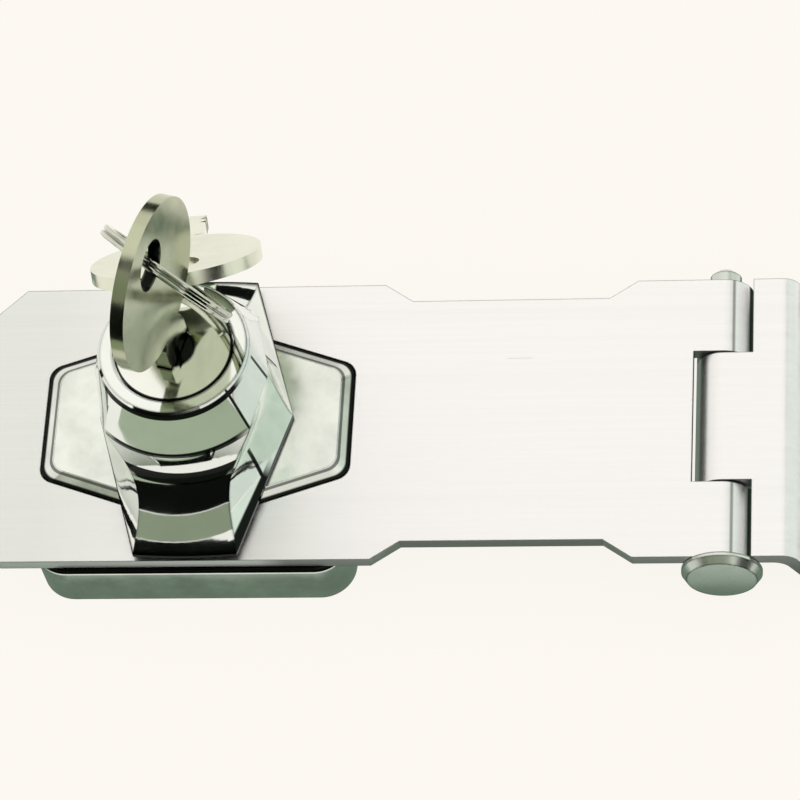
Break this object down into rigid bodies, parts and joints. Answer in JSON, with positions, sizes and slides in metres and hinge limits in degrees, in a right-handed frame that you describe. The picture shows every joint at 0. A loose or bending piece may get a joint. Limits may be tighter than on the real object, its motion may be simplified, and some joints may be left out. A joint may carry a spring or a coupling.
{
  "type": "hasp lock",
  "caption": "Keyed hasp lock: a slotted strap on a pin hinge, held down on its base by a chrome turning knob with a key cylinder, key, split ring and spare key.",
  "frame": {"origin": "on the knob's axis, at the mounting face; this is also the middle of the base's four fixing holes", "axes": "+X from the knob towards the hinge, -Y the front of the picture, +Z out of the mounting face"},
  "size_m": [0.143, 0.057, 0.0613],
  "materials": {
    "strap_steel": "satin, grain along the strap",
    "pin_steel": "satin plated",
    "base_cast": "satin plated casting",
    "knob_chrome": "polished",
    "ring_chrome": "polished wire",
    "key_nickel": "worn nickel",
    "plain_steel": "plain zinc",
    "wafer_brass": "stamped"
  },
  "bodies": {
    "leaf": {"hinge_leaf": "strap_steel"},
    "hasp": {"hasp_strap": "strap_steel", "hinge_pin": "pin_steel", "lock_base": "base_cast", "spindle": "plain_steel"},
    "knob": {"knob_body": "knob_chrome", "knob_plate": "plain_steel", "plate_screws": "plain_steel", "friction_washer": "plain_steel"},
    "plug": {"plug": "knob_chrome", "plug_clip": "plain_steel", "wafer_1": "wafer_brass", "wafer_2": "wafer_brass", "wafer_3": "wafer_brass", "wafer_4": "wafer_brass", "wafer_spring_1": "plain_steel", "wafer_spring_2": "plain_steel", "wafer_spring_3": "plain_steel", "wafer_spring_4": "plain_steel"},
    "bolt": {"bolt": "plain_steel"},
    "key": {"key": "key_nickel"},
    "ring": {"key_ring": "ring_chrome"},
    "spare_key": {"spare_key": "key_nickel"}
  },
  "joints": [
    {"name": "hasp_swing", "type": "hinge", "parent": "leaf", "child": "hasp", "pos_m": [0.0748, 0, 0.00635], "axis": [0, 1, 0], "range_deg": [0, 90]},
    {"name": "knob_turn", "type": "hinge", "parent": "hasp", "child": "knob", "pos_m": [0, 0, 0.0135], "axis": [0, 0, 1], "range_deg": [0, 90]},
    {"name": "key_turn", "type": "hinge", "parent": "knob", "child": "plug", "pos_m": [0, 0, 0.0255], "axis": [0, 0, 1], "range_deg": [-75, 15]},
    {"name": "bolt_slide", "type": "slide", "parent": "knob", "child": "bolt", "axis": [0, 1, 0], "range_m": [-0.00045, 0.00218]},
    {"name": "key_slide", "type": "slide", "parent": "plug", "child": "key", "axis": [0, 0, 1], "range_m": [0, 0.011]},
    {"name": "ring_swing", "type": "hinge", "parent": "key", "child": "ring", "pos_m": [0, 0, 0.0542], "axis": [0.9659, -0.2588, 0], "range_deg": [0, 45]},
    {"name": "spare_swing", "type": "hinge", "parent": "ring", "child": "spare_key", "pos_m": [-0.00073, 0.01028, 0.03454], "axis": [0.794, -0.4542, -0.404], "range_deg": [0, 12]}
  ],
  "couplings": [
    {"joint": "bolt_slide", "follows": "key_turn", "m_per_rad": -0.00166}
  ]
}
